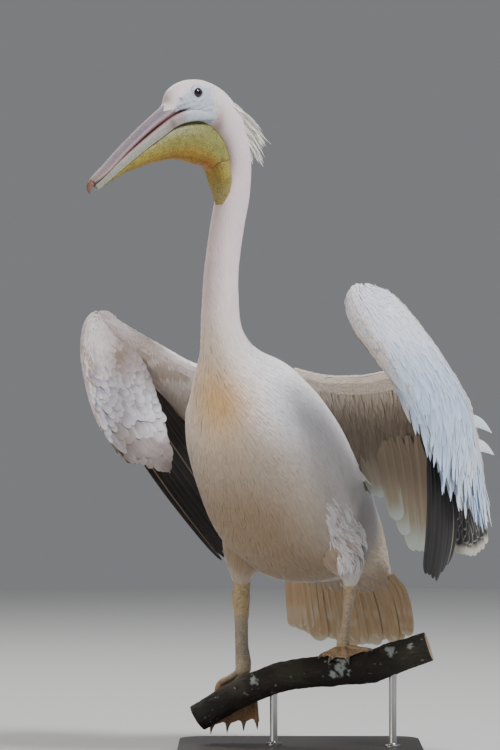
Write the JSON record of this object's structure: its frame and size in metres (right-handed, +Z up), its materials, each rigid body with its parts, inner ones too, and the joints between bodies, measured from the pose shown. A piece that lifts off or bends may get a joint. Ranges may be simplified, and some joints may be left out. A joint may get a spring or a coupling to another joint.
{
  "type": "great white pelican",
  "caption": "Life-size standing pelican with half-open wings, long bill and throat pouch, perched on a short branch that two rods hold over a flat base.",
  "frame": {"origin": "centre of the underside of the stand base", "axes": "+Z up; -Y is the side that the breast and the camera view face; +X is the side that the tail points to"},
  "size_m": [0.8699, 0.771, 1.4174],
  "materials": {
    "plumage": "soft white feathers with a pink and cream cast",
    "face": "bare pale blue-white skin",
    "eye": "glossy",
    "bill": "satin horn, speckled",
    "nail": "satin horn",
    "mandible": "satin horn",
    "pouch": "thin veined skin",
    "flight": "black feathers with buff shafts",
    "tail": "cream feathers",
    "leg": "scaled skin",
    "claw": "satin horn",
    "bark": "rough bark with pale lichen",
    "stand": "satin",
    "rod": "brushed"
  },
  "bodies": {
    "root": {"rump": "plumage", "belly": "plumage", "breast": "plumage", "neck_lower": "plumage", "neck_upper": "plumage", "crest": "plumage", "thigh_left": "plumage", "thigh_right": "plumage", "wing_left_arm": "plumage", "wing_left_hand": "plumage", "wing_left_forearm": "plumage", "wing_left_tertials": "plumage", "wing_right_arm": "plumage", "wing_right_hand": "plumage", "head": "face", "eye_left": "eye", "eye_right": "eye", "bill_upper": "bill", "bill_nail": "nail", "bill_lower": "mandible", "pouch": "pouch", "tail": "tail", "wing_left_primaries": "flight", "wing_left_secondaries": "flight", "wing_right_primaries": "flight", "wing_right_secondaries": "flight", "leg_left": "leg", "foot_left": "leg", "claw_left_1": "claw", "claw_left_2": "claw", "claw_left_3": "claw", "claw_left_4": "claw", "leg_right": "leg", "foot_right": "leg", "claw_right_1": "claw", "claw_right_2": "claw", "claw_right_3": "claw", "claw_right_4": "claw", "perch_branch": "bark", "stand_base": "stand", "stand_rod_left": "rod", "stand_rod_right": "rod"}
  },
  "joints": []
}
